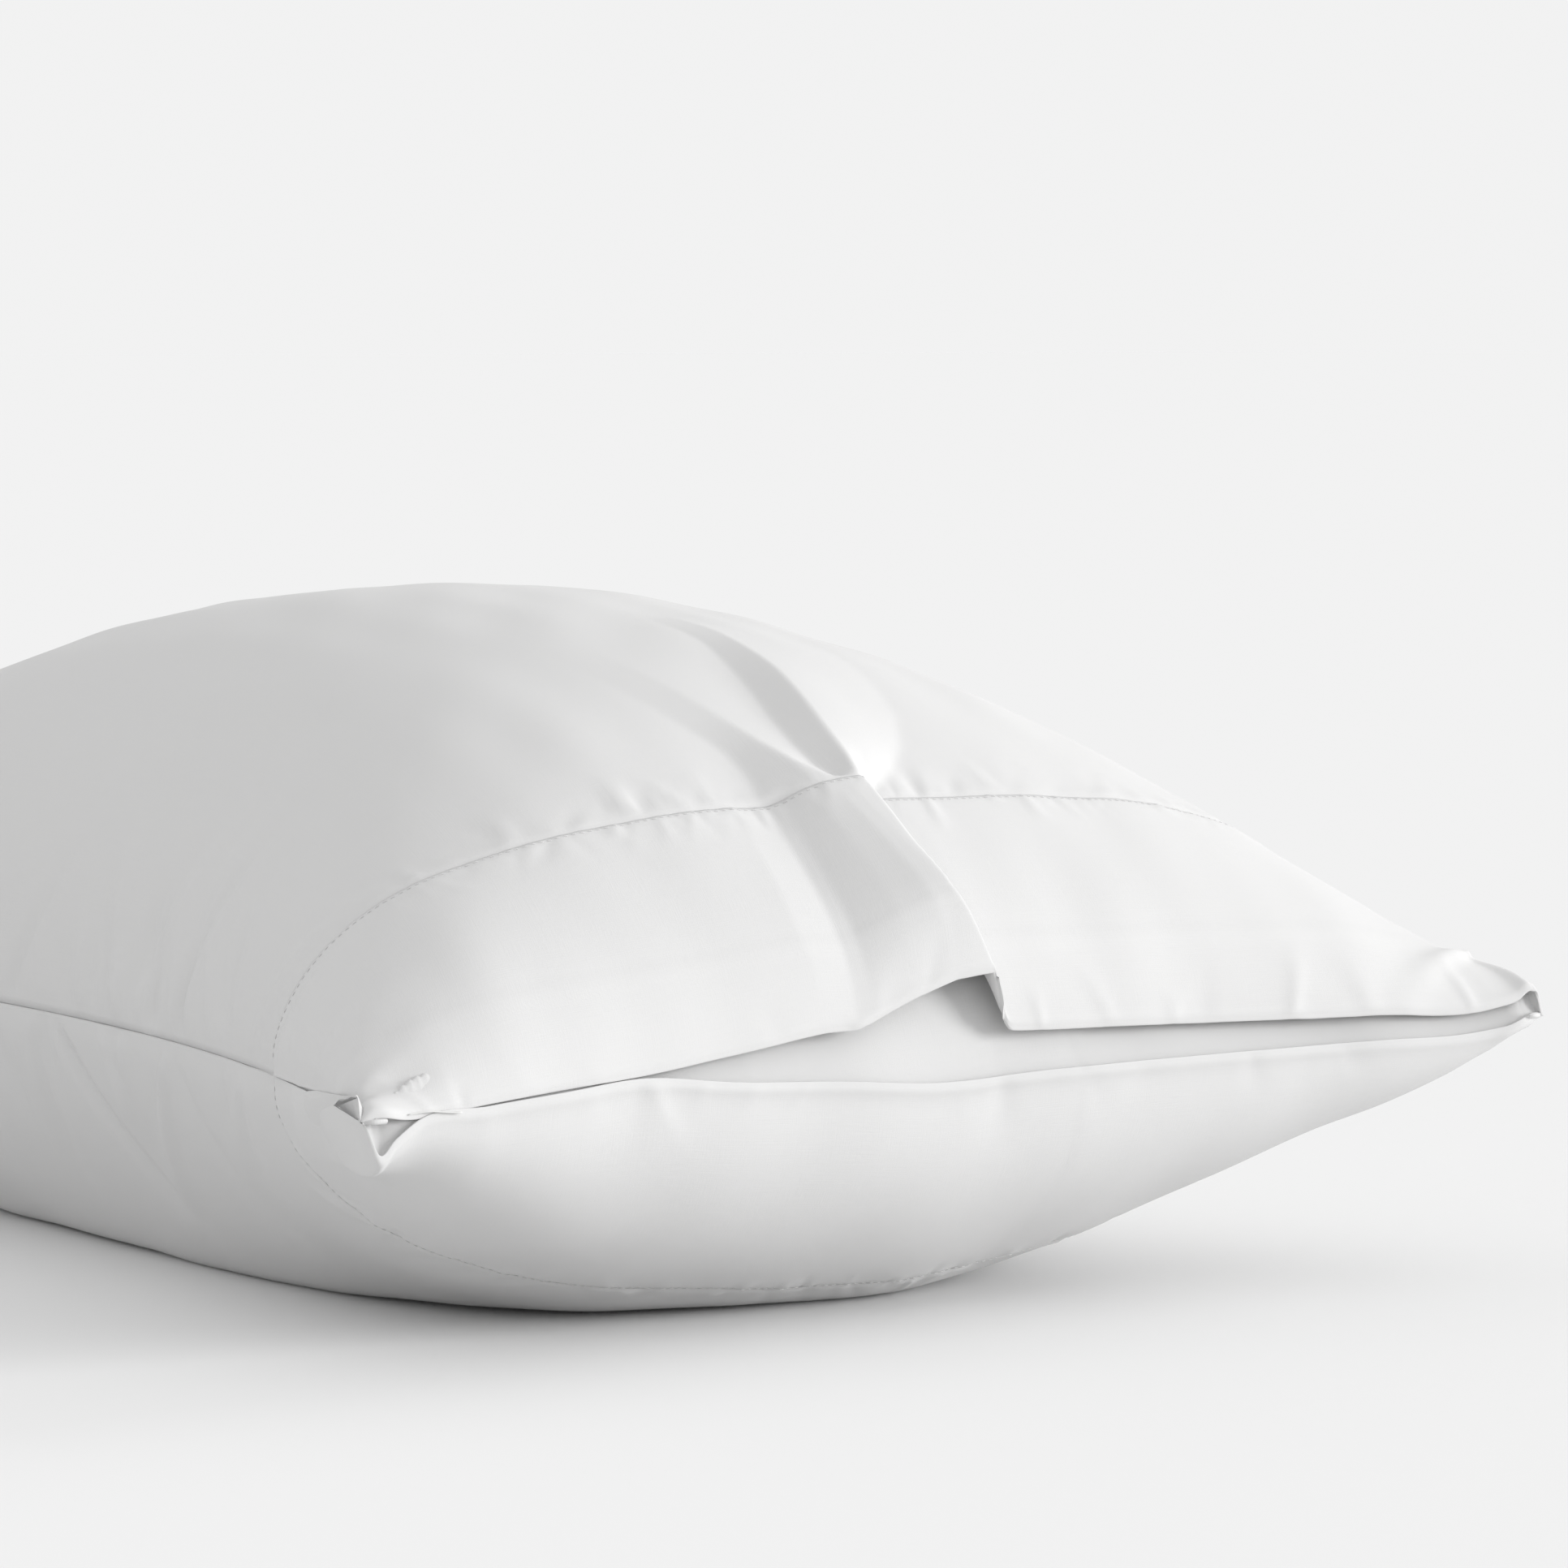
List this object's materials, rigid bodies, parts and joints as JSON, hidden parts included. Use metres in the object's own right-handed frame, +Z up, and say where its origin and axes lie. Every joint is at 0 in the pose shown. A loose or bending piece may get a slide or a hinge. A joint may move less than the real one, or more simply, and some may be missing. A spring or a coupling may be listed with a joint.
{
  "type": "bed pillow",
  "caption": "Bed pillow lying flat: a plump fibre-filled insert in a white cotton pillowcase with an open end and a deep stitched hem.",
  "frame": {"origin": "on the surface the pillow lies on, under the middle of the pillowcase", "axes": "+X along the pillow towards the open mouth of the case, +Y across it, +Z up"},
  "size_m": [0.684, 0.486, 0.2419],
  "materials": {
    "case_cloth": "matt plain-weave cotton",
    "thread": "fine spun sewing thread",
    "label_tape": "smooth woven tape",
    "ticking_cloth": "close-woven cotton ticking",
    "piping_cloth": "bias-cut cotton over cord",
    "fill_fibre": "lofted polyester fibre"
  },
  "bodies": {
    "case": {"case_top_panel": "case_cloth", "case_bottom_panel": "case_cloth", "top_cuff_outer_ply": "case_cloth", "top_cuff_inner_ply": "case_cloth", "bottom_cuff_outer_ply": "case_cloth", "bottom_cuff_inner_ply": "case_cloth", "near_side_seam": "case_cloth", "far_side_seam": "case_cloth", "closed_end_seam": "case_cloth", "top_hem_stitching": "thread", "bottom_hem_stitching": "thread", "near_side_seam_stitching": "thread", "far_side_seam_stitching": "thread", "closed_end_seam_stitching": "thread", "case_care_label": "label_tape"},
    "insert": {"insert_ticking_top": "ticking_cloth", "insert_ticking_bottom": "ticking_cloth", "insert_piping": "piping_cloth", "insert_edge_stitching": "thread", "insert_fill": "fill_fibre", "insert_care_label": "label_tape"}
  },
  "joints": [
    {"name": "insert_slide", "type": "slide", "parent": "case", "child": "insert", "axis": [1, 0, 0], "range_m": [0, 0.7], "deforming": ["case_top_panel", "case_bottom_panel", "top_cuff_outer_ply", "top_cuff_inner_ply", "bottom_cuff_outer_ply", "bottom_cuff_inner_ply", "near_side_seam", "far_side_seam", "closed_end_seam", "top_hem_stitching", "bottom_hem_stitching", "near_side_seam_stitching", "far_side_seam_stitching", "closed_end_seam_stitching", "case_care_label"]}
  ]
}
